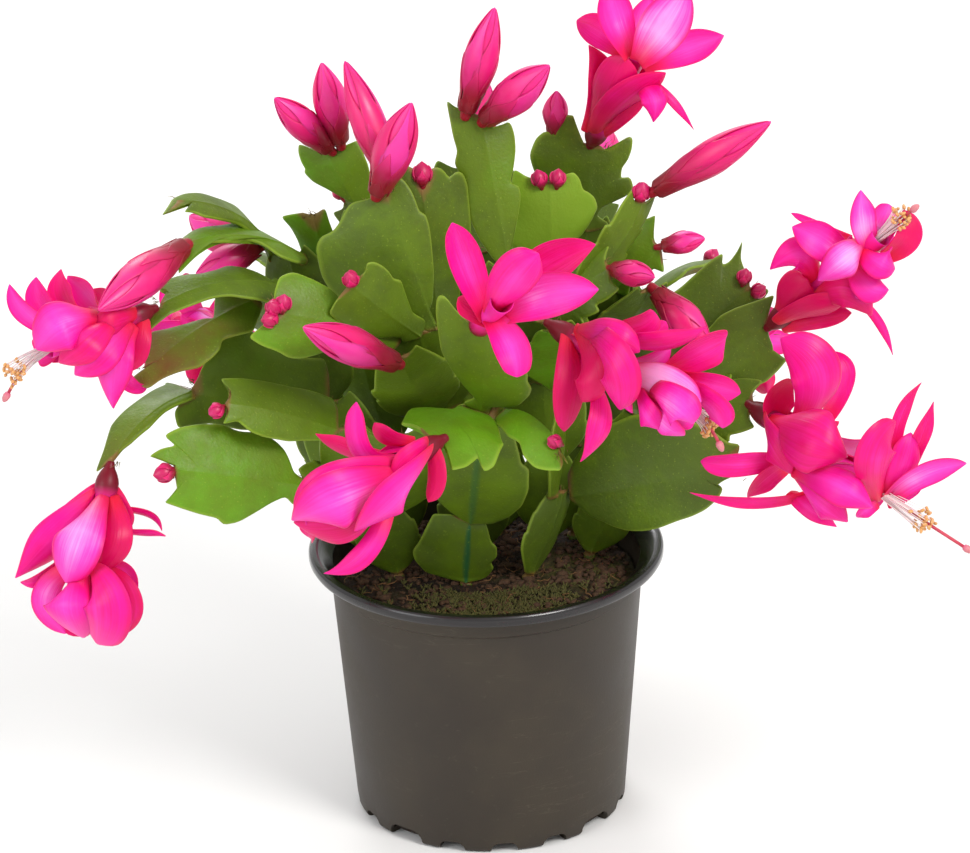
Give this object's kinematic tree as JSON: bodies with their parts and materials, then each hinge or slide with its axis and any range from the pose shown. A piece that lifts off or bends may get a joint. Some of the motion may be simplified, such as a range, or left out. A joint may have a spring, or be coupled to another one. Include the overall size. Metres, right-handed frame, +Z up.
{
  "type": "potted christmas cactus",
  "caption": "Christmas cactus in bloom in a round plastic nursery pot: arching flat toothed stem segments with magenta tiered flowers and buds.",
  "frame": {"origin": "centre of the pot's flat base", "axes": "+Z up, -Y towards the side that the picture shows, +X to the right seen from there"},
  "size_m": [0.3102, 0.2602, 0.2931],
  "materials": {
    "pot": "thin injection-moulded plastic, dark grey-brown, semi-matte with a glossier rim",
    "soil": "damp peat with moss",
    "stem": "fleshy green stem segments with a soft wax sheen",
    "bud": "closed crimson to pink buds",
    "petal": "thin translucent magenta petals",
    "stamen": "white filaments with cream anthers and a crimson style"
  },
  "bodies": {
    "root": {"bloom_centre": "petal", "bloom_centre_right": "petal", "bloom_far": "petal", "bloom_far_left": "petal", "bloom_far_right": "petal", "bloom_front": "petal", "bloom_left": "petal", "bloom_low_left": "petal", "bloom_right_high": "petal", "bloom_right_low": "petal", "bloom_top": "petal", "bud_far_left": "bud", "bud_far_right": "bud", "bud_far_top": "bud", "bud_front_left": "bud", "bud_left": "bud", "bud_left_behind": "bud", "bud_right_high": "bud", "bud_right_low": "bud", "bud_right_mid": "bud", "bud_top_a": "bud", "bud_top_b": "bud", "bud_top_back": "bud", "bud_top_left_a": "bud", "bud_top_left_b": "bud", "bud_top_right": "bud", "bud_upper_left_a": "bud", "bud_upper_left_b": "bud", "pot": "pot", "soil": "soil", "stamens_centre_right": "stamen", "stamens_left": "stamen", "stamens_right_high": "stamen", "stamens_right_low": "stamen", "stamens_top": "stamen", "stem_back_left": "stem", "stem_back_right": "stem", "stem_centre": "stem", "stem_far_low": "stem", "stem_far_tall": "stem", "stem_front": "stem", "stem_high_left": "stem", "stem_left": "stem", "stem_middle": "stem", "stem_right": "stem", "stem_tall": "stem"}
  },
  "joints": []
}
